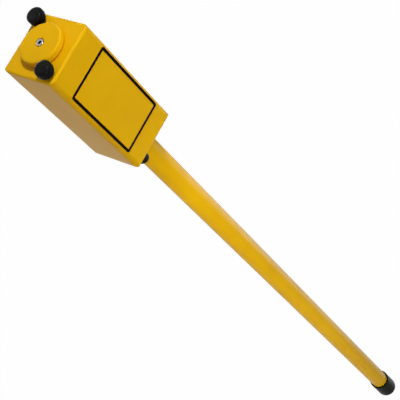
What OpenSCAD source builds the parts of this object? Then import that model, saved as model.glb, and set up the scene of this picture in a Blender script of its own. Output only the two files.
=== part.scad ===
// Magnetic locator: a staff with two magnetic sensors in its tube and an electronics head on top.
// The origin is the centre of the foot's underside, +Z runs up the staff and the label faces -Y.

/* [Staff] */
// Outside diameter of the sensor tube
tube_od = 26.7; // [24:0.1:28]
// Wall of the sensor tube
tube_wall = 1.65; // [1.3:0.05:1.9]
// Height of the head's underside above the ground
head_lift = 904; // [800:1:1000]
// Reach of the tube up into the head
tube_reach = 42; // [38:1:46]

/* [Foot cap] */
// Wall of the foot cap
foot_wall = 2.3; // [1.5:0.1:4]
// Length of the foot cap
foot_l = 48; // [35:1:60]
// Floor of the foot cap, under the end of the tube
foot_floor = 5; // [4:0.5:8]
// Rounding of the foot's lower edge
foot_r = 5.5; // [2:0.5:8]

/* [Head] */
// Width of the head
head_w = 65; // [63:0.5:72]
// Depth of the head
head_d = 64.4; // [62:0.1:72]
// Height of the head with its top plate
head_h = 158; // [156:1:175]
// Radius of the head's upright edges
head_r = 6; // [4:0.5:8]
// Wall of the cover
cover_wall = 2; // [1.6:0.1:2.4]
// Floor of the cover
cover_floor = 2.2; // [1.6:0.1:4]
// Rounding of the cover's lower edges
floor_r = 3; // [1:0.5:4]

/* [Top plate] */
// Thickness of the top plate
plate_t = 3.6; // [3.2:0.1:5]
// Rounding of the top plate's upper edge
plate_r = 2.5; // [0.5:0.1:3]
// Depth of the rim that locates the cover
spigot_h = 5; // [3:0.5:7]
// Wall of the rim that locates the cover
spigot_wall = 2.5; // [1.5:0.1:3]
// Gap between that rim and the cover
spigot_gap = 0.3; // [0.2:0.05:0.6]
// Width of the seal cord under the plate's edge
seal_w = 1; // [0.6:0.1:1.2]
// Height of the seal cord
seal_h = 1; // [0.6:0.1:1.5]

/* [Label] */
// Margin of the label from the head's sides
label_side = 4; // [3.5:0.1:12]
// Margin of the label from the head's underside
label_low = 26; // [20:0.5:45]
// Margin of the label from the head's top
label_high = 28.5; // [25:0.5:50]
// Thickness of the front label
label_t = 0.3; // [0.2:0.05:0.6]
// Corner radius of the front label
label_r = 2.5; // [1:0.5:5]

/* [Sounder] */
// Gap between the sounder cap and the knobs
cap_clear = 2.25; // [2:0.05:4]
// Wall of the sounder cap, which its screws go into
cap_wall = 6; // [5.5:0.05:6.5]
// Height of the sounder cap
cap_h = 8.2; // [7.5:0.1:12]
// Rounding of the sounder cap's upper edge
cap_r = 2; // [1:0.5:3]
// Height of the cap's rim above the plate
rim_lift = 2.6; // [1.5:0.1:3]
// How far the cap's rim reaches out past its neck
rim_reach = 1.8; // [1:0.1:2.2]
// Roof of the sounder cap
cap_roof = 2.5; // [1.8:0.1:3]
// Thickness of the piezo plate
piezo_t = 0.4; // [0.2:0.1:0.8]
// Thickness of the ceramic disc
ceramic_t = 0.3; // [0.2:0.1:0.6]
// Height of the ring that carries the piezo plate
ring_h = 2.5; // [1.5:0.1:3]
// Flange diameter of the sound outlet's eyelet
eyelet_d = 7.6; // [7.2:0.1:10]
// Depth of the recess round the sound eyelet
eyelet_sink = 1.2; // [0.8:0.1:1.4]
// Bore of the eyelet
eyelet_bore = 3.6; // [2:0.1:4]
// Wall of the eyelet's neck
eyelet_wall = 1; // [0.5:0.1:1.2]
// Number of screws that hold the sounder cap
cap_screw_count = 3; // [3:1:4]

/* [Controls] */
// Distance of the knobs from the head's sides
knob_inset_x = 9; // [8.6:0.1:11]
// Distance of the knobs from the head's front and back
knob_inset_y = 9.5; // [8.6:0.1:11]
// Diameter of the knobs
knob_d = 17; // [14:0.1:18]
// Height of the knobs
knob_h = 9.4; // [8.5:0.1:14]
// Rounding of the knobs' upper edge
knob_r = 3; // [1:0.1:3.5]
// Height of the narrow ring under a knob's cap
knob_foot = 1.8; // [1:0.1:2.2]
// Number of ribs round each knob
knob_ribs = 18; // [12:1:30]
// Diameter of the grooves between the ribs
rib_groove_d = 1.4; // [0.6:0.1:2]
// Diameter of the control shafts
shaft_d = 4; // [3:0.1:4.5]
// Running gap of the shafts in their bushings
shaft_fit = 0.05; // [0.02:0.01:0.09]
// Diameter of the threaded bushings
bushing_d = 6; // [5.6:0.1:7]
// Diameter of the bodies under the top plate
control_d = 12; // [10:0.5:12.5]
// Depth of the volume potentiometer
pot_h = 9; // [7:0.5:12]
// Depth of the sensitivity switch
switch_h = 13; // [9:0.5:15]
// Diameter of the washers on the top plate
washer_d = 10; // [9:0.1:12]
// Thickness of those washers
washer_t = 0.5; // [0.3:0.1:0.8]
// Width across the flats of the bushing nuts
nut_af = 8; // [7.6:0.1:10]
// Height of the bushing nuts
nut_t = 2; // [1.5:0.1:3]

/* [Thumb screws] */
// Distance of the thumb screws from the head's sides
screw_inset_x = 14.5; // [12:0.5:16]
// Distance of the thumb screws from the head's front and back
screw_inset_y = 9.7; // [8.5:0.1:11]
// Diameter of the screw shank
screw_d = 5; // [4:0.1:6]
// Length of a screw's tip in its thread
thread_l = 5.8; // [4:0.1:6]
// Diameter of the ribbed head
thumb_d = 12.4; // [10:0.2:15]
// Height of the ribbed head
thumb_h = 9; // [6:0.5:12]
// Number of ribs round the head
thumb_ribs = 20; // [12:1:30]
// Thickness of the washer over the head
thumb_washer_t = 1; // [0.6:0.1:2]
// Diameter of the retaining clip
clip_d = 8.8; // [8:0.1:10]
// Thickness of the retaining clip
clip_t = 0.6; // [0.4:0.1:1]
// Outside diameter of the threaded bushes in the base plate
thread_bush_d = 9; // [8:0.1:10]

/* [Chassis] */
// Thickness of the base plate
base_t = 4; // [3:0.5:6]
// Gap between the base plate and the cover
base_gap = 1; // [0.6:0.1:2]
// Height of the base plate over the cover's floor
base_lift = 7; // [5:0.5:9]
// Wall of the tube collar
collar_wall = 3.3; // [2.8:0.1:4]
// Reach of the collar's flange past its barrel
collar_reach = 5.7; // [5.4:0.1:6.4]
// Thickness of the collar's flange
collar_flange_t = 4; // [3:0.5:5]
// Lip over the end of the tube
collar_lip = 1.5; // [1:0.1:1.8]
// Thickness of the upright sheet
sheet_t = 1.6; // [1.2:0.1:2.5]
// Length of the sheet's bent tabs
tab_l = 9; // [8:0.5:10]

/* [Circuit board] */
// Width of the board
board_w = 48; // [44:1:50]
// Room over the board for the controls
board_top_room = 22; // [20:1:30]
// Thickness of the board
board_t = 1.6; // [1:0.1:2.4]
// Length of the standoffs behind the board
standoff_l = 8; // [6:0.5:9]
// Diameter of the standoffs
standoff_d = 5; // [4:0.1:6]

/* [Batteries] */
// Length of a battery's case
battery_l = 46.4; // [44:0.1:48]
// Width of a battery
battery_w = 26.5; // [24:0.1:27]
// Thickness of a battery
battery_t = 17.5; // [15:0.1:18]
// Gap round a battery in its tray
battery_gap = 0.4; // [0.2:0.1:0.6]
// Wall of the battery tray
tray_wall = 1.4; // [1.2:0.1:2]
// Gap between the battery tray and the back of the cover
battery_clear = 3; // [1:0.5:4]

/* [Sensors] */
// Distance between the two sensors
sensor_gap = 508; // [400:1:600]
// Length of a sensor's bobbin
sensor_l = 44; // [36:1:60]
// Diameter of the bobbin's flanges
bobbin_d = 9.2; // [8.6:0.1:9.6]
// Diameter of the winding
winding_d = 8.4; // [7:0.1:8.5]
// Diameter of the sensor's core
core_d = 2.2; // [1.5:0.1:3]
// Width of the strip that carries the sensors
strip_w = 12; // [10:0.5:13]
// Thickness of that strip
strip_t = 2.4; // [1.6:0.1:2.8]
// Length of the centring bushes in the tube
guide_l = 12; // [8:0.5:16]
// Diameter of the sensor cables
cable_d = 3; // [2:0.1:3.2]

/* [Hidden] */
$fn = 48;

// Colours
paint = "#E0AE08";
black = "#1C1C1C";
bare_metal = "#B9BCBE";
dark_metal = "#6E7174";
brass = "#C9A24A";
board_green = "#2E6B3E";

// Small gaps: a screw in its hole, faces that part when the cover slides, resting parts and wire ends
screw_fit = 0.1;
seat_gap = 0.05;
seal_drop = 0.03;
loose_fit = 0.4;
wire_end = 0.1;
// Overlap that makes a cut run clear through a face
cut = 1;

// A slotted pan head, in shares of its screw's diameter
pan_h = 0.65;
pan_half = 0.9;
pan_r = 0.25;
pan_slot = 0.24;
pan_slot_deep = 0.3;

// Heights up the staff
tube_top = head_lift + tube_reach;
tube_id = tube_od - 2 * tube_wall;
head_top = head_lift + head_h;
plate_under = head_top - plate_t;
floor_top = head_lift + cover_floor;

// Inside of the cover
inner_w = head_w - 2 * cover_wall;
inner_d = head_d - 2 * cover_wall;
inner_r = head_r - cover_wall;
cover_h = head_h - plate_t - seat_gap;

// Label
label_w = head_w - 2 * label_side;
label_h = head_h - label_low - label_high;

// Base plate and thumb screws
base_z = floor_top + base_lift;
base_top = base_z + base_t;
hole_floor = 0.6;
screw_x = head_w / 2 - screw_inset_x;
screw_y = head_d / 2 - screw_inset_y;
screw_tip = base_z + thread_l;
clip_gap = 0.3;
clip_groove = 0.4;
clip_z = floor_top + clip_gap;
thumb_top = head_lift - thumb_washer_t - seat_gap;
thumb_r = 1;
thumb_groove_d = 1.2;
thumb_slot = 1.2;

// Grommet round the tube
grommet_neck = 3.5;
grommet_reach = 2.2;
grommet_flange = 1.6;
grommet_hole_d = tube_od + 2 * grommet_neck;
grommet_fit = 0.08;

// Collar
collar_od = tube_od + 2 * collar_wall;
collar_flange_d = collar_od + 2 * collar_reach;
collar_top_t = 3;
collar_top = tube_top + collar_top_t;
collar_screw_d = 2.5;
collar_screw_ring = (collar_od + collar_flange_d) / 4;
set_screw_d = 4;
set_screw_z = (base_top + collar_flange_t + tube_top) / 2;
set_screw_sink = 0.3;
socket_deep = 1.3;

// Batteries, lying one above the other behind the sheet
tray_z = collar_top + 7;
bay_h = battery_w + 2 * battery_gap;
bay_step = bay_h + tray_wall;
tray_deep = tray_wall + battery_t + 2 * battery_gap;
lip = 1.2;
lip_l = 20;
battery_x = 1 - battery_l / 2;
battery_r = 2.5;
tray_end_x = battery_x + battery_l + battery_gap;
stud_l = 2.1;
stud_gap = 12.7;
stud_d = [5.7, 7.5];
snap_t = 4.4;
snap_size = [13, 25];
tray_screw_d = 3;
tray_screw_cone = 0.9;

// Upright sheet
spine_y = inner_d / 2 - battery_clear - lip - tray_deep - sheet_t;
spine_back = spine_y + sheet_t;
battery_mid_y = spine_back + tray_wall + battery_gap + battery_t / 2;
sheet_screw_d = 3;
spine_half = inner_w / 2 - 2;
spine_neck = inner_w / 2 - spigot_gap - spigot_wall - 1.2;
spine_shoulder = plate_under - spigot_h - 3;
leg_in = collar_flange_d / 2 + 0.5;
leg_mid = (leg_in + spine_half) / 2;
tab_w = 9;
tab_mid = spine_neck - tab_w / 2;
tab_hole_y = spine_back + (tab_l - sheet_t) / 2;
tab_screw_bite = 2.2;
arch_clear = 7;
wire_gap_w = 32;
wire_gap_h = 16;

// Board
board_z = collar_top + 13;
board_h = head_top - board_top_room - board_z;
board_back = spine_y - standoff_l;
board_front = board_back - board_t;
board_screw_d = 2.5;
board_screw_bite = 4;
board_hole_inset = 3.5;
header_deep = 6;
header_inset = 4;
header_mid = board_front - header_deep / 2;
control_header = [30, 6];
sensor_header = [24, 6];
battery_header = [6, 12];
control_header_top = board_z + board_h - header_inset;
control_header_z = control_header_top - control_header[1];
sensor_header_z = board_z + header_inset;
// Pieces on the board share out the room between its two long headers
board_low = sensor_header_z + sensor_header[1];
board_room = control_header_z - board_low;
battery_header_x = -board_w / 2 + 2;
battery_header_z = board_low + 0.19 * board_room;
chip_count = 3;
chip_size = [20, 3.4, 7];
chip_x = -6;
capacitor_count = 4;
capacitor_d = 7;
capacitor_l = 11;
capacitor_r = 0.6;
capacitor_x = 18.5;

// Controls
knob_x = head_w / 2 - knob_inset_x;
knob_y = head_d / 2 - knob_inset_y;
knob_gap = 0.5;
bushing_end = washer_t + nut_t + 0.3;
knob_z = head_top + washer_t + nut_t + knob_gap;
knob_top = knob_z + knob_h;
knob_roof = 2;
knob_step = 1;
knob_neck = 0.8;
pointer_w = 0.8;
pointer_deep = 0.5;
shaft_end = plate_under - 5;
knob_set_d = 2.5;
knob_set_l = 4;
pin_l = 3;
pin_size = [0.6, 1];
pot_under = plate_under - pot_h;
switch_under = plate_under - switch_h;

// Sounder
cap_d = 2 * (norm([knob_x, knob_y]) - knob_d / 2 - cap_clear);
cavity_d = cap_d - 2 * cap_wall;
piezo_gap = 2;
piezo_seat = 2;
piezo_d = cavity_d - 2 * piezo_gap;
ceramic_d = 0.73 * piezo_d;
cap_screw_d = 2.5;
cap_screw_ring = (cavity_d + cap_d - 2 * rim_reach) / 4;
cap_screw_bite = 4.2;
piezo_rib = 1.2;
eyelet_neck_d = eyelet_bore + 2 * eyelet_wall;
eyelet_t = 1.6;
eyelet_z = head_top + cap_h - eyelet_sink;
eyelet_seat = cap_roof - eyelet_sink;
eyelet_room = 1;
eyelet_roll = 0.8;
eyelet_cone = 0.5;
lead_hole_d = 8;

// Sensors and their guides in the tube
guide_clear = 5;
guide_fit = 0.1;
guide_lift = 8;
sensor_low = foot_floor + guide_lift + guide_l + guide_clear + sensor_l / 2;
sensor_high = sensor_low + sensor_gap;
guide_off = sensor_l / 2 + guide_clear + guide_l / 2;
guide_drop = 20;
guide_top = tube_top - guide_drop;
guide_heights = concat(
  [for (z = [sensor_low, sensor_high], end = [-1, 1]) z + end * guide_off],
  [guide_top]
);
flange_t = 1.5;
bobbin_neck_d = core_d + 2.4;
strip_front = bobbin_d / 2 + 0.1;
strip_low = foot_floor + 6;
strip_high = tube_top - 8;
tie_t = 0.8;
tie_w = 4;
tie_off = sensor_l / 4;
cable_x = 7.4;
cable_y = -2.2;
cable_drop = 14;

// Wires in the head
wire_d = 2;
lead_d = 1.8;
control_wire_x = 11;
snap_front = battery_mid_y - snap_size[0] / 2;
snap_mid_x = battery_x - seat_gap - snap_t / 2;
lead_x = -(inner_w + board_w) / 4;

// Route of a sensor cable out of the collar and up into its header
cable_bend = [
  [cable_x, cable_y, tube_top - cable_drop],
  [cable_x, cable_y, tube_top - 8],
  [cable_x, cable_y, tube_top - 2],
  [cable_x, cable_y, collar_top + 1],
  [cable_x, (cable_y + header_mid) / 2, collar_top + 7],
  [cable_x, header_mid, collar_top + 12],
  [cable_x, header_mid, sensor_header_z - wire_end]
];
// Route of the switch's wire: down past the solder pins, then across to the board
switch_wire = [
  [-knob_x, -knob_y, switch_under - wire_end],
  [-knob_x, -knob_y, switch_under - pin_l - wire_d / 2],
  for (share = [0.4, 0.85])
    [
      -knob_x + share * (knob_x - control_wire_x),
      -knob_y + share * (knob_y + header_mid),
      control_header_top + 4.4 - share
    ],
  [-control_wire_x, header_mid, control_header_top + 1.6],
  [-control_wire_x, header_mid, control_header_top + wire_end]
];
// Route of the potentiometer's wire, which also passes the window in the sheet
pot_wire = [
  [knob_x, knob_y, pot_under - wire_end],
  [knob_x, knob_y, pot_under - pin_l - wire_d / 2],
  [control_wire_x + 4.5, (knob_y + spine_back) / 2, pot_under - pin_l - wire_d],
  [control_wire_x + 0.5, spine_back, pot_under - pin_l - wire_d],
  [control_wire_x, spine_y - 5, pot_under - pin_l - wire_d],
  [control_wire_x, header_mid + 1.5, control_header_top + 5],
  [control_wire_x, header_mid, control_header_top + 2],
  [control_wire_x, header_mid, control_header_top + wire_end]
];
// Route of the sounder's wire: shares of the way forward to the header, with drops below the plate
sounder_wire = concat(
  [[0, 0, head_top + ring_h - ceramic_t - wire_end]],
  [
    for (step = [[0, -2], [0, 2], [0.17, 7], [0.47, 11.5], [0.87, 16], [1, 20]])
      [0, step[0] * header_mid, plate_under - step[1]]
  ],
  [[0, header_mid, control_header_top + wire_end]]
);

// Route of a battery's lead, round the left edge of the board into its header
function battery_lead(bay, header_share) =
  let (
    low = tray_z + tray_wall + bay_h / 2 + bay * bay_step,
    high = battery_header_z + header_share * battery_header[1],
    rise = high - low
  )
  [
    [snap_mid_x, snap_front - wire_end, low],
    [snap_mid_x - 0.3, snap_front - 2.6, low],
    [lead_x + 0.6, spine_y - 1, low + 0.05 * rise],
    [lead_x, spine_y - 6, low + 0.3 * rise],
    [lead_x + 0.4, header_mid + 2.2, low + 0.68 * rise],
    [lead_x + 2, header_mid + 0.2, high - 0.05 * rise],
    [battery_header_x - 1.4, header_mid, high],
    [battery_header_x - wire_end, header_mid, high]
  ];

function unit(v) = v / norm(v);

// A point between b and c on the smooth curve through a, b, c and d
function curve_point(a, b, c, d, t) =
  0.5 * (2 * b + (c - a) * t + (2 * a - 5 * b + 4 * c - d) * t * t + (3 * b - a - 3 * c + d) * t * t * t);

// Points along the smooth curve through the given points
function smooth_route(points, steps) = concat(
  [
    for (i = [0 : len(points) - 2])
      for (s = [0 : steps - 1])
        curve_point(
          points[max(i - 1, 0)], points[i], points[i + 1], points[min(i + 2, len(points) - 1)], s / steps
        )
  ],
  [points[len(points) - 1]]
);

// A flat rectangle with round corners
module rounded_rect(w, d, r) {
  square([w - 2 * r, d], center = true);
  square([w, d - 2 * r], center = true);
  for (x = [-1, 1], y = [-1, 1])
    translate([x * (w / 2 - r), y * (d / 2 - r)])
      circle(r);
}

// The side view of a block whose two lower corners are round
module round_foot_profile(w, h, r) {
  translate([-w / 2, r])
    square([w, h - r]);
  translate([-w / 2 + r, 0])
    square([w - 2 * r, h]);
  for (x = [-1, 1])
    translate([x * (w / 2 - r), r])
      circle(r);
}

// A block with round upright edges and round lower edges
module soft_block(w, d, h, r, edge_r) {
  intersection() {
    linear_extrude(h)
      rounded_rect(w, d, r);
    rotate([90, 0, 0])
      linear_extrude(d + 2 * cut, center = true)
        round_foot_profile(w, h, edge_r);
    rotate([90, 0, 90])
      linear_extrude(w + 2 * cut, center = true)
        round_foot_profile(d, h, edge_r);
  }
}

// The half section of a round piece whose upper outer edge is round
module round_top_section(r, h, edge_r) {
  square([r - edge_r, h]);
  square([r, h - edge_r]);
  translate([r - edge_r, h - edge_r])
    circle(edge_r);
}

// A flat ring
module washer(outer_d, inner_d, t) {
  difference() {
    cylinder(d = outer_d, h = t);
    translate([0, 0, -cut])
      cylinder(d = inner_d, h = t + 2 * cut);
  }
}

// A slotted pan-head screw: the head stands on z = 0, the shank runs down
module pan_screw(d, l) {
  pan_t = pan_h * d;
  difference() {
    union() {
      rotate_extrude()
        round_top_section(pan_half * d, pan_t, pan_r * d);
      translate([0, 0, -l])
        cylinder(d = d, h = l + pan_t / 2);
    }
    translate([-d, -pan_slot * d / 2, pan_t - pan_slot_deep * d])
      cube([2 * d, pan_slot * d, d]);
  }
}

// Grooves round the side of a knob
module rib_grooves(d, groove_d, count, low, high) {
  for (i = [0 : count - 1])
    rotate([0, 0, i * 360 / count])
      translate([d / 2 + groove_d / 4, 0, low])
        cylinder(d = groove_d, h = high - low, $fn = 24);
}

// A round cord through the given points; its rings are turned about the reference direction
module cord(path, d, reference) {
  sides = 8;
  last = len(path) - 1;
  rings = [
    for (i = [0 : last])
      let (
        along = unit(path[min(i + 1, last)] - path[max(i - 1, 0)]),
        across = unit(cross(along, reference)),
        up = cross(along, across)
      )
      for (k = [0 : sides - 1])
        path[i] + d / 2 * (across * cos(360 * k / sides) + up * sin(360 * k / sides))
  ];
  wall = [
    for (i = [0 : last - 1])
      for (k = [0 : sides - 1])
        let (a = i * sides + k, b = i * sides + (k + 1) % sides)
        for (face = [[a, a + sides, b], [b, a + sides, b + sides]])
          face
  ];
  near_end = [for (k = [1 : sides - 2]) [0, k, k + 1]];
  far_end = [for (k = [1 : sides - 2]) [last * sides, last * sides + k + 1, last * sides + k]];
  polyhedron(points = rings, faces = concat(wall, near_end, far_end));
}

module at_knob(side) {
  translate([side * knob_x, side * knob_y, 0])
    children();
}

module at_thumb_screw(side) {
  translate([side * screw_x, side * screw_y, 0])
    children();
}

module at_board_corners() {
  for (x = [-1, 1], z = [board_z + board_hole_inset, board_z + board_h - board_hole_inset])
    translate([x * (board_w / 2 - board_hole_inset), 0, z])
      rotate([90, 0, 0])
        children();
}

module at_cap_screws() {
  for (i = [0 : cap_screw_count - 1])
    rotate([0, 0, 90 + i * 360 / cap_screw_count])
      translate([cap_screw_ring, 0, plate_under])
        children();
}

module at_collar_screws() {
  for (i = [0 : 3])
    rotate([0, 0, 45 + i * 90])
      translate([collar_screw_ring, 0, base_top + collar_flange_t])
        children();
}

module at_sheet_feet() {
  for (x = [-1, 1])
    translate([x * leg_mid, tab_hole_y, base_top + sheet_t])
      children();
}

module at_sheet_tabs() {
  for (x = [-1, 1])
    translate([x * tab_mid, tab_hole_y, plate_under - sheet_t])
      rotate([180, 0, 0])
        children();
}

module at_tray_screws() {
  for (i = [0, 1])
    translate([0, spine_back + tray_wall, tray_z + tray_wall + bay_h / 2 + i * bay_step])
      rotate([-90, 0, 0])
        children();
}

// Staff

module sensor_tube() {
  color(paint)
    translate([0, 0, foot_floor])
      washer(tube_od, tube_id, tube_top - foot_floor);
}

module foot_cap() {
  cap_radius = tube_od / 2 + foot_wall;
  color(black)
    difference() {
      rotate_extrude() {
        translate([0, foot_r])
          square([cap_radius, foot_l - foot_r]);
        square([cap_radius - foot_r, foot_l]);
        translate([cap_radius - foot_r, foot_r])
          circle(foot_r);
      }
      translate([0, 0, foot_floor])
        cylinder(d = tube_od, h = foot_l);
    }
}

module sensor_carrier() {
  color("#C8B878")
    translate([-strip_w / 2, strip_front, strip_low])
      cube([strip_w, strip_t, strip_high - strip_low]);
}

// One bobbin, with the lug that its cable is soldered to
module bobbin() {
  difference() {
    union() {
      cylinder(d = bobbin_neck_d, h = sensor_l, center = true);
      for (end = [-1, 1])
        translate([0, 0, end * (sensor_l - flange_t) / 2])
          cylinder(d = bobbin_d, h = flange_t, center = true);
      translate([0, cable_y - cable_d / 2, sensor_l / 2 - flange_t])
        cube([cable_x + cable_d / 2, cable_d, flange_t]);
    }
    cylinder(d = core_d + 2 * screw_fit, h = sensor_l + 2 * cut, center = true);
  }
}

module sensor_bobbins() {
  color("#3A3F46") {
    translate([0, 0, sensor_low])
      mirror([1, 0, 0])
        bobbin();
    translate([0, 0, sensor_high])
      bobbin();
  }
}

module sensor_windings() {
  color("#B06A2C")
    for (z = [sensor_low, sensor_high])
      translate([0, 0, z - sensor_l / 2 + flange_t])
        washer(winding_d, bobbin_neck_d, sensor_l - 2 * flange_t);
}

module sensor_cores() {
  color(bare_metal)
    for (z = [sensor_low, sensor_high])
      translate([0, 0, z])
        cylinder(d = core_d, h = sensor_l, center = true);
}

// The loop of a tie round the winding and the strip, grown by a margin
module tie_outline(margin) {
  circle(winding_d / 2 + margin);
  translate([-strip_w / 2 - margin, strip_front / 2 - margin])
    square([strip_w + 2 * margin, strip_front / 2 + strip_t + 2 * margin]);
}

module sensor_ties() {
  color("#E6E2D6")
    for (z = [sensor_low, sensor_high], off = [-tie_off, tie_off])
      translate([0, 0, z + off - tie_w / 2])
        linear_extrude(tie_w)
          difference() {
            tie_outline(screw_fit + tie_t);
            tie_outline(screw_fit);
          }
}

module centring_bushes() {
  color("#D9D4C4")
    for (z = guide_heights)
      translate([0, 0, z - guide_l / 2])
        difference() {
          cylinder(d = tube_id - 2 * guide_fit, h = guide_l);
          translate([-strip_w / 2 - screw_fit, strip_front - screw_fit, -cut])
            cube([strip_w + 2 * screw_fit, strip_t + 2 * screw_fit, guide_l + 2 * cut]);
          for (x = [-1, 1])
            translate([x * cable_x, cable_y, -cut])
              cylinder(d = cable_d + 2 * loose_fit, h = guide_l + 2 * cut);
        }
}

module sensor_cables() {
  bend = smooth_route(cable_bend, 3);
  color("#8E8E88") {
    mirror([1, 0, 0])
      cord(concat([[cable_x, cable_y, sensor_low + sensor_l / 2]], bend), cable_d, [1, 0, 0]);
    cord(concat([[cable_x, cable_y, sensor_high + sensor_l / 2]], bend), cable_d, [1, 0, 0]);
  }
}

// Chassis

module tube_collar() {
  color(bare_metal)
    difference() {
      union() {
        translate([0, 0, base_top])
          cylinder(d = collar_od, h = collar_top - base_top);
        translate([0, 0, base_top])
          cylinder(d = collar_flange_d, h = collar_flange_t);
      }
      translate([0, 0, base_top - cut])
        cylinder(d = tube_od, h = tube_top - base_top + cut);
      translate([0, 0, tube_top - cut])
        cylinder(d = tube_id - 2 * collar_lip, h = collar_top - tube_top + 2 * cut);
      at_collar_screws()
        translate([0, 0, -collar_flange_t - cut])
          cylinder(d = collar_screw_d + 2 * screw_fit, h = collar_flange_t + 2 * cut);
      for (side = [-1, 1])
        translate([0, 0, set_screw_z])
          rotate([0, side * 90, 0])
            cylinder(d = set_screw_d + 2 * screw_fit, h = collar_od);
    }
}

module collar_screws() {
  color(dark_metal)
    at_collar_screws()
      pan_screw(collar_screw_d, collar_flange_t + base_t - hole_floor - loose_fit);
}

module collar_set_screws() {
  color(dark_metal)
    for (side = [-1, 1])
      translate([side * (tube_od / 2 + seat_gap), 0, set_screw_z])
        rotate([0, side * 90, 0])
          difference() {
            cylinder(d = set_screw_d, h = collar_wall - set_screw_sink);
            translate([0, 0, collar_wall - set_screw_sink - socket_deep])
              cylinder(d = set_screw_d / 2, h = socket_deep + cut, $fn = 6);
          }
}

module base_plate() {
  color(bare_metal)
    difference() {
      translate([0, 0, base_z])
        linear_extrude(base_t)
          rounded_rect(inner_w - 2 * base_gap, inner_d - 2 * base_gap, inner_r);
      translate([0, 0, base_z - cut])
        cylinder(d = tube_od, h = base_t + 2 * cut);
      for (side = [-1, 1])
        at_thumb_screw(side)
          translate([0, 0, base_z - cut])
            cylinder(d = thread_bush_d, h = base_t + 2 * cut);
      at_collar_screws()
        translate([0, 0, -collar_flange_t - base_t + hole_floor])
          cylinder(d = collar_screw_d + 2 * screw_fit, h = base_t + cut);
      at_sheet_feet()
        translate([0, 0, -sheet_t - base_t + hole_floor])
          cylinder(d = sheet_screw_d + 2 * screw_fit, h = base_t + cut);
    }
}

module thread_bushes() {
  color(brass)
    for (side = [-1, 1])
      at_thumb_screw(side)
        translate([0, 0, base_z])
          washer(thread_bush_d, screw_d + 2 * shaft_fit, base_t);
}

module chassis_spine() {
  color(bare_metal)
    difference() {
      union() {
        translate([-spine_half, spine_y, base_top])
          cube([2 * spine_half, sheet_t, spine_shoulder - base_top]);
        translate([-spine_neck, spine_y, spine_shoulder - cut])
          cube([2 * spine_neck, sheet_t, plate_under - spine_shoulder + cut]);
        for (x = [-spine_half, leg_in])
          translate([x, spine_y, base_top])
            cube([spine_half - leg_in, tab_l, sheet_t]);
        for (x = [-spine_neck, spine_neck - tab_w])
          translate([x, spine_y, plate_under - sheet_t])
            cube([tab_w, tab_l, sheet_t]);
      }
      // Arch over the collar
      translate([-leg_in, spine_y - cut, base_top - cut])
        cube([2 * leg_in, sheet_t + 2 * cut, collar_top + arch_clear - base_top + cut]);
      // Way through for the wires of the back control
      translate([-wire_gap_w / 2, spine_y - cut, plate_under - wire_gap_h])
        cube([wire_gap_w, sheet_t + 2 * cut, wire_gap_h + cut]);
      // Way past the left edge for the battery leads
      translate([-spine_half - cut, spine_y - cut, tray_z + tray_wall])
        cube([spine_half + cut + battery_x, sheet_t + 2 * cut, 2 * bay_step]);
      at_sheet_feet()
        translate([0, 0, -sheet_t - cut])
          cylinder(d = sheet_screw_d + 2 * screw_fit, h = sheet_t + 2 * cut);
      at_sheet_tabs()
        translate([0, 0, -sheet_t - cut])
          cylinder(d = sheet_screw_d + 2 * screw_fit, h = sheet_t + 2 * cut);
      at_tray_screws()
        translate([0, 0, -tray_wall - sheet_t - cut])
          cylinder(d = tray_screw_d + 2 * screw_fit, h = sheet_t + 2 * cut);
    }
}

module spine_screws() {
  color(dark_metal) {
    at_sheet_feet()
      pan_screw(sheet_screw_d, sheet_t + base_t - hole_floor - loose_fit);
    at_sheet_tabs()
      pan_screw(sheet_screw_d, sheet_t + tab_screw_bite - 2 * screw_fit);
  }
}

module circuit_board() {
  color(board_green)
    difference() {
      translate([-board_w / 2, board_front, board_z])
        cube([board_w, board_t, board_h]);
      at_board_corners()
        translate([0, 0, -board_back - cut])
          cylinder(d = board_screw_d + 2 * screw_fit, h = board_t + 2 * cut);
    }
}

module board_standoffs() {
  color(brass)
    at_board_corners()
      translate([0, 0, -spine_y])
        difference() {
          cylinder(d = standoff_d, h = standoff_l);
          translate([0, 0, standoff_l - board_screw_bite - cut])
            cylinder(d = board_screw_d + 2 * screw_fit, h = board_screw_bite + 2 * cut);
        }
}

module board_screws() {
  color(dark_metal)
    at_board_corners()
      translate([0, 0, -board_front])
        pan_screw(board_screw_d, board_t + board_screw_bite);
}

// Places that share out the room on the board evenly
module along_board(count) {
  for (i = [0 : count - 1])
    translate([0, board_front, board_low + board_room * (i + 0.5) / count])
      children();
}

module board_chips() {
  color(black)
    along_board(chip_count)
      translate([chip_x, -chip_size[1], -chip_size[2] / 2])
        cube(chip_size);
}

module board_capacitors() {
  color("#2A3550")
    along_board(capacitor_count)
      translate([capacitor_x, 0, 0])
        rotate([90, 0, 0])
          rotate_extrude()
            round_top_section(capacitor_d / 2, capacitor_l, capacitor_r);
}

module board_headers() {
  color("#E8E4D8") {
    translate([-control_header[0] / 2, board_front - header_deep, control_header_z])
      cube([control_header[0], header_deep, control_header[1]]);
    translate([-sensor_header[0] / 2, board_front - header_deep, sensor_header_z])
      cube([sensor_header[0], header_deep, sensor_header[1]]);
    translate([battery_header_x, board_front - header_deep, battery_header_z])
      cube([battery_header[0], header_deep, battery_header[1]]);
  }
}

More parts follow.
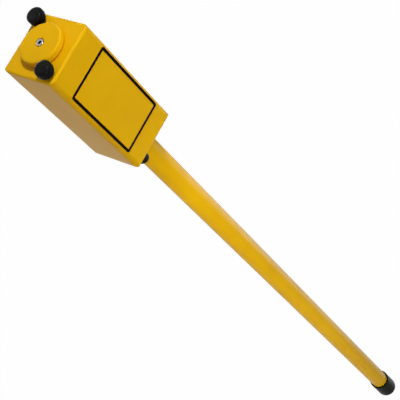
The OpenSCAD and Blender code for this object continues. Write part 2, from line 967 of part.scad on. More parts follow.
module battery_tray() {
  color("#2B2B2B")
    difference() {
      union() {
        translate([battery_x, spine_back, tray_z])
          cube([tray_end_x + tray_wall - battery_x, tray_wall, 2 * bay_step + tray_wall]);
        translate([tray_end_x, spine_back, tray_z])
          cube([tray_wall, tray_deep, 2 * bay_step + tray_wall]);
        for (i = [0 : 2])
          translate([battery_x, spine_back, tray_z + i * bay_step])
            cube([tray_end_x + tray_wall - battery_x, tray_deep + lip, tray_wall]);
        // Fingers that hold the batteries in
        for (i = [0 : 1], edge = [0, bay_h - lip])
          translate([-lip_l / 2, spine_back + tray_deep, tray_z + tray_wall + i * bay_step + edge])
            cube([lip_l, lip, lip]);
      }
      at_tray_screws() {
        translate([0, 0, -tray_wall - cut])
          cylinder(d = tray_screw_d + 2 * screw_fit, h = tray_wall + 2 * cut);
        translate([0, 0, -tray_screw_cone - 2 * screw_fit])
          cylinder(
            d1 = tray_screw_d + 2 * screw_fit, d2 = 2 * tray_screw_d, h = tray_screw_cone + 3 * screw_fit
          );
      }
    }
}

module tray_screws() {
  color(dark_metal)
    at_tray_screws() {
      translate([0, 0, -tray_wall - sheet_t])
        cylinder(d = tray_screw_d, h = tray_wall + sheet_t - tray_screw_cone);
      translate([0, 0, -tray_screw_cone - screw_fit])
        cylinder(d1 = tray_screw_d, d2 = 2 * (tray_screw_d - 3 * screw_fit), h = tray_screw_cone);
    }
}

module at_bays() {
  for (i = [0, 1])
    translate([battery_x, battery_mid_y, tray_z + tray_wall + bay_h / 2 + i * bay_step])
      children();
}

module batteries() {
  color("#3B4A5C")
    at_bays() {
      rotate([90, 0, 90])
        linear_extrude(battery_l)
          rounded_rect(battery_t, battery_w, battery_r);
      for (i = [0, 1])
        translate([0, 0, (i - 0.5) * stud_gap])
          rotate([0, -90, 0])
            cylinder(d = stud_d[i], h = stud_l);
    }
}

module battery_snaps() {
  color(black)
    at_bays()
      difference() {
        translate([-seat_gap - snap_t, -snap_size[0] / 2, -snap_size[1] / 2])
          cube([snap_t, snap_size[0], snap_size[1]]);
        for (i = [0, 1])
          translate([cut, 0, (i - 0.5) * stud_gap])
            rotate([0, -90, 0])
              cylinder(d = stud_d[i] + 2 * screw_fit, h = stud_l + loose_fit + cut);
      }
}

module battery_leads() {
  color("#A02A22") {
    cord(smooth_route(battery_lead(0, 1 / 3), 2), lead_d, [0, 0, 1]);
    cord(smooth_route(battery_lead(1, 3 / 4), 2), lead_d, [0, 0, 1]);
  }
}

module control_wires() {
  color("#8A8A86") {
    cord(smooth_route(switch_wire, 2), wire_d, [1, -1, 0]);
    cord(smooth_route(pot_wire, 2), wire_d, [1, 0, 0]);
    cord(smooth_route(sounder_wire, 2), wire_d, [1, 0, 0]);
  }
}

// Top plate, sounder and controls

module top_plate() {
  rim_w = inner_w - 2 * spigot_gap;
  rim_d = inner_d - 2 * spigot_gap;
  rim_r = inner_r - spigot_gap;
  color(paint)
    difference() {
      union() {
        translate([0, 0, head_top])
          mirror([0, 0, 1])
            soft_block(head_w, head_d, plate_t, head_r, plate_r);
        difference() {
          translate([0, 0, plate_under - spigot_h])
            linear_extrude(spigot_h + cut)
              rounded_rect(rim_w, rim_d, rim_r);
          translate([0, 0, plate_under - spigot_h - cut])
            linear_extrude(spigot_h + cut)
              square([rim_w - 2 * spigot_wall, rim_d - 2 * spigot_wall], center = true);
        }
      }
      seal_ring(0, seal_w + 2 * seat_gap);
      cylinder(d = lead_hole_d, h = 2 * head_top);
      for (side = [-1, 1])
        at_knob(side) {
          translate([0, 0, plate_under - cut])
            cylinder(d = bushing_d + 2 * screw_fit, h = plate_t + 2 * cut);
          translate([0, 0, plate_under - spigot_h - cut])
            cylinder(d = control_d + 2 * loose_fit, h = spigot_h + cut);
        }
      at_cap_screws()
        translate([0, 0, -cut])
          cylinder(d = cap_screw_d + 2 * screw_fit, h = plate_t + 2 * cut);
      at_sheet_tabs()
        translate([0, 0, -sheet_t - tab_screw_bite])
          cylinder(d = sheet_screw_d + 2 * screw_fit, h = tab_screw_bite + sheet_t / 2);
    }
}

// The seal cord over the cover's rim, or its groove
module seal_ring(drop, width) {
  mid_w = head_w - cover_wall;
  mid_d = head_d - cover_wall;
  mid_r = head_r - cover_wall / 2;
  translate([0, 0, plate_under - drop])
    linear_extrude(seal_h + drop)
      difference() {
        rounded_rect(mid_w + width, mid_d + width, mid_r + width / 2);
        rounded_rect(mid_w - width, mid_d - width, mid_r - width / 2);
      }
}

module rim_seal() {
  color(black)
    seal_ring(seal_drop, seal_w);
}

module sounder_cap() {
  cap_radius = cap_d / 2;
  roof_under = cap_h - cap_roof;
  color(paint)
    difference() {
      translate([0, 0, head_top])
        rotate_extrude()
          difference() {
            union() {
              difference() {
                round_top_section(cap_radius, cap_h, cap_r);
                square([cavity_d / 2, roof_under]);
                translate([cap_radius - rim_reach, -cut])
                  square([rim_reach + cut, rim_lift + cut]);
                translate([0, cap_h - eyelet_sink])
                  square([eyelet_d / 2 + eyelet_room, eyelet_sink + cut]);
              }
              translate([piezo_d / 2 - piezo_rib, ring_h + piezo_t])
                square([piezo_rib, roof_under - ring_h - piezo_t + cut]);
            }
            translate([0, -cut])
              square([eyelet_neck_d / 2 + screw_fit, cap_h + 2 * cut]);
          }
      at_cap_screws()
        cylinder(d = cap_screw_d + 2 * screw_fit, h = plate_t + cap_screw_bite + loose_fit);
    }
}

module sound_eyelet() {
  color("#D5D7D8")
    difference() {
      translate([0, 0, eyelet_z])
        rotate_extrude() {
          round_top_section(eyelet_d / 2, eyelet_t, eyelet_t / 2);
          translate([0, -eyelet_seat - eyelet_roll / 2])
            square([eyelet_neck_d / 2, eyelet_seat + eyelet_roll]);
          translate([0, -eyelet_seat - eyelet_roll])
            square([eyelet_neck_d / 2 + eyelet_roll, eyelet_roll]);
        }
      translate([0, 0, head_top])
        cylinder(d = eyelet_bore, h = cap_h + 2 * eyelet_t);
      translate([0, 0, eyelet_z + eyelet_t - eyelet_cone])
        cylinder(d1 = eyelet_bore, d2 = eyelet_bore + 4 * eyelet_cone, h = 2 * eyelet_cone);
    }
}

module cap_screws() {
  color(dark_metal)
    at_cap_screws()
      rotate([180, 0, 0])
        pan_screw(cap_screw_d, plate_t + cap_screw_bite);
}

module sounder_ring() {
  color("#303030")
    translate([0, 0, head_top])
      washer(cavity_d - 2 * screw_fit, piezo_d - 2 * piezo_seat, ring_h);
}

module piezo_plate() {
  color(brass)
    translate([0, 0, head_top + ring_h])
      cylinder(d = piezo_d, h = piezo_t);
}

module piezo_ceramic() {
  color("#ECE8DC")
    translate([0, 0, head_top + ring_h - ceramic_t])
      cylinder(d = ceramic_d, h = ceramic_t);
}

// The fixed body of a control: case, threaded bushing and solder pins
module control_body(case_h, pin_count) {
  difference() {
    union() {
      translate([0, 0, plate_under - case_h])
        cylinder(d = control_d, h = case_h);
      translate([0, 0, plate_under - cut])
        cylinder(d = bushing_d, h = plate_t + bushing_end + cut);
      for (i = [0 : pin_count - 1])
        rotate([0, 0, i * 360 / pin_count])
          translate([control_d / 3, -pin_size[1] / 2, plate_under - case_h - pin_l])
            cube([pin_size[0], pin_size[1], pin_l + cut]);
    }
    translate([0, 0, shaft_end - loose_fit])
      cylinder(d = shaft_d + 2 * shaft_fit, h = 2 * knob_h + plate_t);
  }
}

module volume_pot() {
  color(dark_metal)
    at_knob(1)
      control_body(pot_h, 3);
}

module sensitivity_switch() {
  color(dark_metal)
    at_knob(-1)
      control_body(switch_h, 6);
}

module panel_washers() {
  color(black)
    for (side = [-1, 1])
      at_knob(side)
        translate([0, 0, head_top])
          washer(washer_d, bushing_d + 2 * screw_fit, washer_t);
}

module panel_nuts() {
  color(black)
    for (side = [-1, 1])
      at_knob(side)
        translate([0, 0, head_top + washer_t])
          difference() {
            cylinder(d = nut_af / cos(30), h = nut_t, $fn = 6);
            translate([0, 0, -cut])
              cylinder(d = bushing_d + 2 * screw_fit, h = nut_t + 2 * cut);
          }
}

// A ribbed, domed knob with a pointer groove, a bore for its shaft and a hole for its set screw
module knob() {
  foot_radius = knob_d / 2 - knob_step;
  cap_low = knob_foot + knob_neck;
  difference() {
    translate([0, 0, knob_z])
      rotate_extrude() {
        square([foot_radius, knob_foot]);
        square([foot_radius - knob_step, knob_h / 2]);
        translate([0, cap_low])
          round_top_section(knob_d / 2, knob_h - cap_low, knob_r);
      }
    rib_grooves(knob_d, rib_groove_d, knob_ribs, knob_z + cap_low - cut, knob_top);
    translate([0, 0, knob_z - cut])
      cylinder(d = shaft_d + 2 * screw_fit, h = knob_h - knob_roof + cut);
    translate([-pointer_w / 2, -knob_d / 2 + knob_r, knob_top - pointer_deep])
      cube([pointer_w, knob_d / 2 - knob_r - shaft_d / 2, cut]);
    translate([0, 0, knob_z + knob_h / 2])
      rotate([-90, 0, 0])
        cylinder(d = knob_set_d + 2 * screw_fit, h = knob_d);
  }
}

module knob_shaft() {
  translate([0, 0, shaft_end])
    cylinder(d = shaft_d, h = knob_top - knob_roof - loose_fit - shaft_end);
}

module knob_set_screw() {
  translate([0, shaft_d / 2 + seat_gap, knob_z + knob_h / 2])
    rotate([-90, 0, 0])
      cylinder(d = knob_set_d, h = knob_set_l);
}

module volume_knob() {
  color(black)
    at_knob(1)
      knob();
}

module volume_shaft() {
  color(bare_metal)
    at_knob(1)
      knob_shaft();
}

module volume_set_screw() {
  color(dark_metal)
    at_knob(1)
      knob_set_screw();
}

module sensitivity_knob() {
  color(black)
    at_knob(-1)
      knob();
}

module sensitivity_shaft() {
  color(bare_metal)
    at_knob(-1)
      knob_shaft();
}

module sensitivity_set_screw() {
  color(dark_metal)
    at_knob(-1)
      knob_set_screw();
}

// Cover

module head_cover() {
  color(paint)
    difference() {
      translate([0, 0, head_lift])
        soft_block(head_w, head_d, cover_h, head_r, floor_r);
      translate([0, 0, floor_top])
        linear_extrude(cover_h)
          rounded_rect(inner_w, inner_d, inner_r);
      translate([0, 0, head_lift - cut])
        cylinder(d = grommet_hole_d, h = cover_floor + 2 * cut);
      for (side = [-1, 1])
        at_thumb_screw(side)
          translate([0, 0, head_lift - cut])
            cylinder(d = screw_d + 2 * loose_fit, h = cover_floor + 2 * cut);
    }
}

module front_label() {
  color("#D8A90C")
    translate([0, -head_d / 2, head_lift + label_low + label_h / 2])
      rotate([90, 0, 0])
        linear_extrude(label_t)
          rounded_rect(label_w, label_h, label_r);
}

module tube_grommet() {
  neck_r = grommet_hole_d / 2;
  color(black)
    translate([0, 0, head_lift])
      rotate_extrude()
        difference() {
          union() {
            translate([0, -grommet_flange])
              square([neck_r, cover_floor + 2 * grommet_flange]);
            translate([0, -grommet_flange])
              square([neck_r + grommet_reach, grommet_flange]);
            translate([0, cover_floor])
              square([neck_r + grommet_reach, grommet_flange]);
          }
          translate([0, -grommet_flange - cut])
            square([tube_od / 2 + grommet_fit, cover_floor + 2 * grommet_flange + 2 * cut]);
        }
}

// Thumb screws

module thumb_washers() {
  color("#E6E2D6")
    for (side = [-1, 1])
      at_thumb_screw(side)
        translate([0, 0, head_lift - thumb_washer_t])
          washer(thumb_d, screw_d + 2 * loose_fit, thumb_washer_t);
}

// A captive screw: a ribbed head under the cover, a shank through it and a groove for its clip
module thumb_screw() {
  thumb_low = thumb_top - thumb_h;
  difference() {
    union() {
      translate([0, 0, thumb_top])
        mirror([0, 0, 1])
          rotate_extrude()
            round_top_section(thumb_d / 2, thumb_h, thumb_r);
      translate([0, 0, thumb_top - cut])
        cylinder(d = screw_d, h = screw_tip - thumb_top + cut);
    }
    rib_grooves(thumb_d, thumb_groove_d, thumb_ribs, thumb_low + 1.4 * thumb_r, thumb_top - thumb_r);
    translate([-thumb_d / 2, -thumb_slot / 2, thumb_low - cut])
      cube([thumb_d, thumb_slot, thumb_slot + cut]);
    translate([0, 0, clip_z - seat_gap])
      washer(screw_d + 2 * cut, screw_d - 2 * clip_groove, clip_t + 2 * seat_gap);
  }
}

// The open ring that keeps a screw in the cover
module screw_clip() {
  translate([0, 0, clip_z])
    difference() {
      washer(clip_d, screw_d - 2 * clip_groove + 2 * screw_fit, clip_t);
      translate([0, -clip_d / 8, -cut])
        cube([clip_d, clip_d / 4, clip_t + 2 * cut]);
    }
}

module thumb_screw_a() {
  color(black)
    at_thumb_screw(-1)
      thumb_screw();
}

module screw_clip_a() {
  color(bare_metal)
    at_thumb_screw(-1)
      screw_clip();
}

module thumb_screw_b() {
  color(black)
    at_thumb_screw(1)
      thumb_screw();
}

module screw_clip_b() {
  color(bare_metal)
    at_thumb_screw(1)
      screw_clip();
}

sensor_tube();
foot_cap();
tube_collar();
collar_screws();
collar_set_screws();
base_plate();
thread_bushes();
chassis_spine();
spine_screws();
top_plate();
rim_seal();
sounder_cap();
sound_eyelet();
cap_screws();
sounder_ring();
piezo_plate();
piezo_ceramic();
volume_pot();
sensitivity_switch();
panel_washers();
panel_nuts();
circuit_board();
board_standoffs();
board_screws();
board_chips();
board_capacitors();
board_headers();
battery_tray();
tray_screws();
batteries();
battery_snaps();
battery_leads();
control_wires();
sensor_carrier();
sensor_bobbins();
sensor_windings();
sensor_cores();
sensor_ties();
centring_bushes();
sensor_cables();
head_cover();
front_label();
tube_grommet();
thumb_washers();
thumb_screw_a();
screw_clip_a();
thumb_screw_b();
screw_clip_b();
volume_knob();
volume_shaft();
volume_set_screw();
sensitivity_knob();
sensitivity_shaft();
sensitivity_set_screw();
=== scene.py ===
"""Looks of the magnetic locator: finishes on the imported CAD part, a printed border, a studio."""

import logging
import math
from dataclasses import dataclass, field
from enum import Enum
from typing import Any, ClassVar, Mapping, Union

import bpy
import numpy as np
from mathutils import Matrix, Vector


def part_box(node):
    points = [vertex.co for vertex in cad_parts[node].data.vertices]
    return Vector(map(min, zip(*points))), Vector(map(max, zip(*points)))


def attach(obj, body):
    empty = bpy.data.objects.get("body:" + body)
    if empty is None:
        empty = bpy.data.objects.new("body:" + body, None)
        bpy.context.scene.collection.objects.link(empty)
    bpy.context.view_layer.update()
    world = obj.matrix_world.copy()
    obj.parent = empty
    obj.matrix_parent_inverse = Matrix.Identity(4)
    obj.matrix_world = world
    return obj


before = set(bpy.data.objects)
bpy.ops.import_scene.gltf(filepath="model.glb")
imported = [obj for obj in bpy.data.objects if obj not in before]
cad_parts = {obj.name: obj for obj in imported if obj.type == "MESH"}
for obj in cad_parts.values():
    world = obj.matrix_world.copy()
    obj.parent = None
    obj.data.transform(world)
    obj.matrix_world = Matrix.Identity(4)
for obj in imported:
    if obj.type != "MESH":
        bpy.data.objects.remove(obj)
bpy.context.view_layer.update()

LOG = logging.getLogger("locator")
MM = 0.001

Colour = tuple[float, float, float, float]
Triple = tuple[float, float, float]
Ramp = tuple[float, float]

# The sRGB curve: straight up to the knee, then a power
SRGB_KNEE = 0.04045
SRGB_SLOPE = 12.92
SRGB_OFFSET = 0.055
SRGB_POWER = 2.4

# Colour sockets of a Mix node
MIX_FACTOR, MIX_FIRST, MIX_SECOND, MIX_RESULT = 0, 6, 7, 2

# Middle of a pattern that runs from 0 to 1, and half a period of a folded one
HALF = 0.5


def colour(code: str) -> Colour:
    """Turns an sRGB colour code into linear light.

    Args:
        code: six hexadecimal digits.
    Returns:
        The linear red, green and blue with an alpha of 1.
    """
    shares = [int(code[i : i + 2], 16) / 255 for i in (0, 2, 4)]
    red, green, blue = (
        c / SRGB_SLOPE if c <= SRGB_KNEE else ((c + SRGB_OFFSET) / (1 + SRGB_OFFSET)) ** SRGB_POWER
        for c in shares
    )
    return (red, green, blue, 1.0)


def grey(level: float) -> Colour:
    """A linear grey of the given level."""
    return (level, level, level, 1.0)


# Shader maths


class Value:
    """A number socket whose Python operators add Math nodes to its tree."""

    def __init__(self, nodes: "Nodes", socket: bpy.types.NodeSocket) -> None:
        """Wraps one output socket of a tree."""
        self.nodes = nodes
        self.socket = socket

    def math(self, operation: str, *others: "Number") -> "Value":
        """Adds one Math node with this value as its first input.

        Args:
            operation: the Math node's operation.
            others: the values or numbers of its other inputs.
        Returns:
            The node's result.
        """
        inputs = dict(enumerate((self, *others)))
        made = self.nodes.node("ShaderNodeMath", inputs, operation=operation)
        return Value(self.nodes, made.outputs[0])

    def __add__(self, other: "Number") -> "Value":
        """This value plus another."""
        return self.math("ADD", other)

    def __sub__(self, other: "Number") -> "Value":
        """This value minus another."""
        return self.math("SUBTRACT", other)

    def __rsub__(self, other: "Number") -> "Value":
        """Another value minus this one."""
        return (self * -1) + other

    def __mul__(self, other: "Number") -> "Value":
        """This value times another."""
        return self.math("MULTIPLY", other)

    def __truediv__(self, other: "Number") -> "Value":
        """This value over another."""
        return self.math("DIVIDE", other)

    def __rtruediv__(self, other: "Number") -> "Value":
        """Another value over this one."""
        return self.math("POWER", -1.0) * other

    __radd__ = __add__
    __rmul__ = __mul__

    def around(self, swing: float) -> "Value":
        """This pattern, moved to run about zero and scaled to a swing."""
        return (self - HALF) * swing

    def step(self, low: float, high: float) -> "Value":
        """A smooth rise from 0 at low to 1 at high."""
        inputs = {"Value": self, "From Min": low, "From Max": high}
        made = self.nodes.node("ShaderNodeMapRange", inputs, interpolation_type="SMOOTHSTEP")
        return Value(self.nodes, made.outputs[0])


Number = Union[Value, float]


@dataclass(frozen=True)
class Pattern:
    """A cloudy pattern: features per metre, octaves and the strength of the finer octaves."""

    scale: float
    octaves: float = 2.0
    fineness: float = 0.5


class Nodes:
    """A node tree, with short ways to add what the finishes and the studio need."""

    def __init__(self, tree: bpy.types.NodeTree) -> None:
        """Works on a material's or the world's tree."""
        self.tree = tree

    def node(
        self, kind: str, inputs: Mapping[Any, Any] | None = None, **settings: str
    ) -> bpy.types.Node:
        """Adds one node.

        Args:
            kind: the node's type.
            inputs: a number, a Value or a socket for each input, by name or index.
            settings: its properties, set before the inputs.
        Returns:
            The new node.
        """
        made = self.tree.nodes.new(kind)
        for key, setting in settings.items():
            setattr(made, key, setting)
        for key, value in (inputs or {}).items():
            self.feed(made.inputs[key], value)
        return made

    def feed(self, target: bpy.types.NodeSocket, value: Any) -> None:
        """Links a Value or a socket to an input, or sets the input's own number."""
        if isinstance(value, Value):
            value = value.socket
        if isinstance(value, bpy.types.NodeSocket):
            self.tree.links.new(value, target)
        else:
            target.default_value = value

    def position(self, stretch: Triple = (1.0, 1.0, 1.0)) -> bpy.types.NodeSocket:
        """Object coordinates, stretched.

        Args:
            stretch: the factor along each axis.
        Returns:
            A vector socket.
        """
        place = self.node("ShaderNodeTexCoord").outputs["Object"]
        return self.node("ShaderNodeMapping", {"Vector": place, "Scale": stretch}).outputs[0]

    def axes(self, place: bpy.types.NodeSocket) -> tuple[Value, Value, Value]:
        """The three numbers of a vector socket."""
        split = self.node("ShaderNodeSeparateXYZ", {0: place})
        across, along, up = (Value(self, socket) for socket in split.outputs)
        return across, along, up

    def noise(self, place: bpy.types.NodeSocket, pattern: Pattern) -> Value:
        """A cloudy pattern from 0 to 1.

        Args:
            place: the vector socket it reads.
            pattern: its scale and octaves.
        Returns:
            The pattern's value.
        """
        inputs = {
            "Vector": place,
            "Scale": pattern.scale,
            "Detail": pattern.octaves,
            "Roughness": pattern.fineness,
        }
        return Value(self, self.node("ShaderNodeTexNoise", inputs).outputs[0])

    def mix(self, factor: Number, first: Any, second: Any) -> bpy.types.NodeSocket:
        """Mixes two colours.

        Args:
            factor: 0 for the first, 1 for the second.
            first: a colour or a colour socket.
            second: a colour or a colour socket.
        Returns:
            A colour socket.
        """
        inputs = {MIX_FACTOR: factor, MIX_FIRST: first, MIX_SECOND: second}
        return self.node("ShaderNodeMix", inputs, data_type="RGBA").outputs[MIX_RESULT]

    def seen(self) -> Value:
        """1 for rays from the camera, a reflection or a glass, and 0 for light on its way."""
        path = self.node("ShaderNodeLightPath")
        camera, glossy, through = (
            Value(self, path.outputs[ray])
            for ray in ("Is Camera Ray", "Is Glossy Ray", "Is Transmission Ray")
        )
        return camera.math("MAXIMUM", glossy).math("MAXIMUM", through)


class Shader(Nodes):
    """One material and the tree of its Principled shader."""

    def __init__(self, name: str) -> None:
        """Starts a material with a Principled shader."""
        self.material = bpy.data.materials.new(name)
        self.material.use_nodes = True
        super().__init__(self.material.node_tree)
        self.surface = self.tree.nodes["Principled BSDF"]

    def bump(self, height: Value, depth: float, share: float) -> None:
        """Lets a height pattern tilt the surface's normal.

        Args:
            height: the pattern.
            depth: its depth in metres.
            share: the share of it that shows.
        """
        inputs = {"Height": height, "Distance": depth, "Strength": share}
        tilted = self.node("ShaderNodeBump", inputs).outputs[0]
        self.feed(self.surface.inputs["Normal"], tilted)

    def done(self, **inputs: Any) -> bpy.types.Material:
        """Fills the Principled shader's inputs, underscores standing for spaces.

        Args:
            inputs: a value or a link for each input.
        Returns:
            The finished material.
        """
        for key, value in inputs.items():
            self.feed(self.surface.inputs[key.replace("_", " ")], value)
        return self.material


# Finishes


class Finish:
    """A finish that makes its material once."""

    name: str

    def build(self, shader: Shader) -> bpy.types.Material:
        """Adds the finish's nodes."""
        raise NotImplementedError

    def material(self) -> bpy.types.Material:
        """The finish's material, made when it is first asked for."""
        return bpy.data.materials.get(self.name) or self.build(Shader(self.name))


@dataclass(frozen=True)
class Paint(Finish):
    """Glossy sprayed enamel with faint mottling and orange peel."""

    name: str
    body: str
    shade: str
    rough: float = 0.3
    peel: float = 0.000012
    refraction: float = 1.12

    CLOUDS: ClassVar[Pattern] = Pattern(22.0, 3.0)
    DIMPLES: ClassVar[Pattern] = Pattern(420.0)
    DIMPLE_SHARE: ClassVar[float] = 0.5
    MOTTLING: ClassVar[Ramp] = (0.3, 0.7)
    GLOSS_SWING: ClassVar[float] = 0.08

    def build(self, shader: Shader) -> bpy.types.Material:
        """Mixes two tints by broad clouds, and adds the peel as bump."""
        place = shader.position()
        cloud = shader.noise(place, self.CLOUDS)
        shader.bump(shader.noise(place, self.DIMPLES), self.peel, self.DIMPLE_SHARE)
        tint = shader.mix(cloud.step(*self.MOTTLING), colour(self.body), colour(self.shade))
        rough = cloud.around(self.GLOSS_SWING) + self.rough
        return shader.done(Base_Color=tint, Roughness=rough, IOR=self.refraction)


@dataclass(frozen=True)
class Moulded(Finish):
    """Moulded plastic, rubber or ink: a fine grain, cloudy gloss and pale rubbed spots."""

    name: str
    body: str
    rubbed: str
    rough: float
    grain: float = 900.0
    depth: float = 0.00003
    refraction: float = 1.2

    CLOUDS: ClassVar[Pattern] = Pattern(70.0, 4.0, 0.6)
    GRAIN_OCTAVES: ClassVar[float] = 3.0
    GRAIN_FINENESS: ClassVar[float] = 0.6
    GRAIN_SHARE: ClassVar[float] = 0.7
    RUBBING: ClassVar[Ramp] = (0.45, 0.8)
    CLOUD_SWING: ClassVar[float] = 0.2
    GRAIN_SWING: ClassVar[float] = 0.1

    def build(self, shader: Shader) -> bpy.types.Material:
        """Mixes the body towards a rubbed tint by clouds, with the grain as bump."""
        place = shader.position()
        cloud = shader.noise(place, self.CLOUDS)
        grains = Pattern(self.grain, self.GRAIN_OCTAVES, self.GRAIN_FINENESS)
        grain = shader.noise(place, grains)
        tint = shader.mix(cloud.step(*self.RUBBING), colour(self.body), colour(self.rubbed))
        shader.bump(grain, self.depth, self.GRAIN_SHARE)
        rough = cloud.around(self.CLOUD_SWING) + grain.around(self.GRAIN_SWING) + self.rough
        return shader.done(Base_Color=tint, Roughness=rough, IOR=self.refraction)


class Tooling(Enum):
    """How a metal surface was worked, as the stretch of its fine scratches along X, Y and Z."""

    BRUSHED = (0.03, 1.0, 1.0)
    TURNED = (1.0, 1.0, 6.0)
    PLAIN = (1.0, 1.0, 1.0)


@dataclass(frozen=True)
class Metal(Finish):
    """Bare or plated metal with tool marks and a little tarnish."""

    name: str
    body: str
    tarnish: str
    rough: float
    tooling: Tooling
    marks: float = 0.000008

    SCRATCHES: ClassVar[Pattern] = Pattern(2600.0)
    CLOUDS: ClassVar[Pattern] = Pattern(90.0, 4.0, 0.65)
    DULLING: ClassVar[Ramp] = (0.45, 0.85)
    MARK_SHARE: ClassVar[float] = 0.6
    CLOUD_SWING: ClassVar[float] = 0.25
    SCRATCH_SWING: ClassVar[float] = 0.15

    def build(self, shader: Shader) -> bpy.types.Material:
        """Stretched noise makes the tool marks, and broad clouds the tarnish."""
        scratch = shader.noise(shader.position(self.tooling.value), self.SCRATCHES)
        cloud = shader.noise(shader.position(), self.CLOUDS)
        tint = shader.mix(cloud.step(*self.DULLING), colour(self.body), colour(self.tarnish))
        shader.bump(scratch, self.marks, self.MARK_SHARE)
        rough = cloud.around(self.CLOUD_SWING) + scratch.around(self.SCRATCH_SWING) + self.rough
        return shader.done(Base_Color=tint, Roughness=rough, Metallic=1.0)


@dataclass(frozen=True)
class Laminate(Finish):
    """A circuit board: green lacquer over a grid of copper tracks, with tinned pads."""

    name: str
    lacquer: str = "1F5A34"
    track: str = "3C8A4E"
    pad: str = "C9C6B8"
    pitch: float = 2.54 * MM

    TRACK_PATCHES: ClassVar[Pattern] = Pattern(60.0, 1.0)
    PAD_PATCHES: ClassVar[Pattern] = Pattern(140.0, 1.0)
    TRACK_EDGE: ClassVar[Ramp] = (0.3, 0.36)
    TRACK_TURN: ClassVar[Ramp] = (0.5, 0.52)
    PAD_EDGE: ClassVar[Ramp] = (0.26, 0.2)
    PAD_CHOICE: ClassVar[Ramp] = (0.52, 0.56)
    RELIEF: ClassVar[float] = 0.04 * MM
    RELIEF_SHARE: ClassVar[float] = 0.8
    LACQUER_ROUGH: ClassVar[float] = 0.28
    PAD_ROUGH: ClassVar[float] = 0.15

    def build(self, shader: Shader) -> bpy.types.Material:
        """Lays tracks and pads by the distance to the nearest line of a grid of one pitch.

        Tracks lie between the grid's lines, up in some patches and across in the others. Pads are
        dots where two lines cross, in some patches only.
        """
        per_metre = 1 / self.pitch
        across, _, up = shader.axes(shader.position((per_metre, per_metre, per_metre)))
        from_x = across.math("PINGPONG", HALF)
        from_z = up.math("PINGPONG", HALF)
        side = shader.noise(shader.position(), self.TRACK_PATCHES).step(*self.TRACK_TURN)
        lines_up, lines_across = (way.step(*self.TRACK_EDGE) for way in (from_x, from_z))
        tracks = lines_up * side + lines_across * (1 - side)
        pads = (from_x * from_x + from_z * from_z).math("SQRT").step(*self.PAD_EDGE)
        pads = pads * shader.noise(shader.position(), self.PAD_PATCHES).step(*self.PAD_CHOICE)
        tint = shader.mix(tracks, colour(self.lacquer), colour(self.track))
        tint = shader.mix(pads, tint, colour(self.pad))
        shader.bump(tracks + pads, self.RELIEF, self.RELIEF_SHARE)
        rough = pads * self.PAD_ROUGH + self.LACQUER_ROUGH
        return shader.done(Base_Color=tint, Roughness=rough, Metallic=pads)


@dataclass(frozen=True)
class Jacket(Finish):
    """A drawn cable or battery jacket: one tint with bands of another along an axis."""

    name: str
    body: str
    band: str
    axis: int = 2
    start: float = 0.0
    length: float = 1.0 * MM
    share: float = 0.0
    rough: float = 0.4

    CLOUDS: ClassVar[Pattern] = Pattern(160.0, 3.0)
    GRAIN: ClassVar[Pattern] = Pattern(1500.0)
    GRAIN_DEPTH: ClassVar[float] = 0.01 * MM
    GRAIN_SHARE: ClassVar[float] = 0.5
    BAND_EDGE: ClassVar[float] = 0.004
    DUST: ClassVar[str] = "777777"
    DUST_RAMP: ClassVar[Ramp] = (0.5, 0.9)
    DUST_SHARE: ClassVar[float] = 0.3
    GLOSS_SWING: ClassVar[float] = 0.15
    GLOSS_DROP: ClassVar[float] = 0.07

    def build(self, shader: Shader) -> bpy.types.Material:
        """Adds a band where the way from the start, counted in lengths, has a small fraction."""
        place = shader.position()
        along = (shader.axes(place)[self.axis] - self.start) / self.length
        edges = (self.share + self.BAND_EDGE, self.share - self.BAND_EDGE)
        cloud = shader.noise(place, self.CLOUDS)
        tint = shader.mix(along.math("FRACT").step(*edges), colour(self.body), colour(self.band))
        dust = cloud.step(*self.DUST_RAMP) * self.DUST_SHARE
        tint = shader.mix(dust, tint, colour(self.DUST))
        shader.bump(shader.noise(place, self.GRAIN), self.GRAIN_DEPTH, self.GRAIN_SHARE)
        rough = cloud * self.GLOSS_SWING + (self.rough - self.GLOSS_DROP)
        return shader.done(Base_Color=tint, Roughness=rough)


@dataclass(frozen=True)
class Winding(Finish):
    """Enamelled wire wound in close turns up a bobbin."""

    name: str
    wire: str = "B4622A"
    painted_shadow: str = "5A2A10"
    pitch: float = 0.4 * MM

    GLOSS: ClassVar[Pattern] = Pattern(300.0)
    GLOSS_SWING: ClassVar[float] = 0.2
    ROUGH: ClassVar[float] = 0.3
    METAL_SHARE: ClassVar[float] = 0.6
    RELIEF: ClassVar[float] = 0.12 * MM
    RELIEF_SHARE: ClassVar[float] = 0.9

    def build(self, shader: Shader) -> bpy.types.Material:
        """Folds the height, in pitches: a crest at a wire's middle, a valley between two wires. The
        valleys get the dark tint as painted shade between the turns.
        """
        place = shader.position()
        turn = (shader.axes(place)[2] / self.pitch).math("PINGPONG", HALF) * 2
        # Painted shade: the colour darkens towards the valleys between neighbouring wires
        tint = shader.mix(turn, colour(self.painted_shadow), colour(self.wire))
        shader.bump(turn, self.RELIEF, self.RELIEF_SHARE)
        rough = shader.noise(place, self.GLOSS).around(self.GLOSS_SWING) + self.ROUGH
        return shader.done(Base_Color=tint, Roughness=rough, Metallic=self.METAL_SHARE)


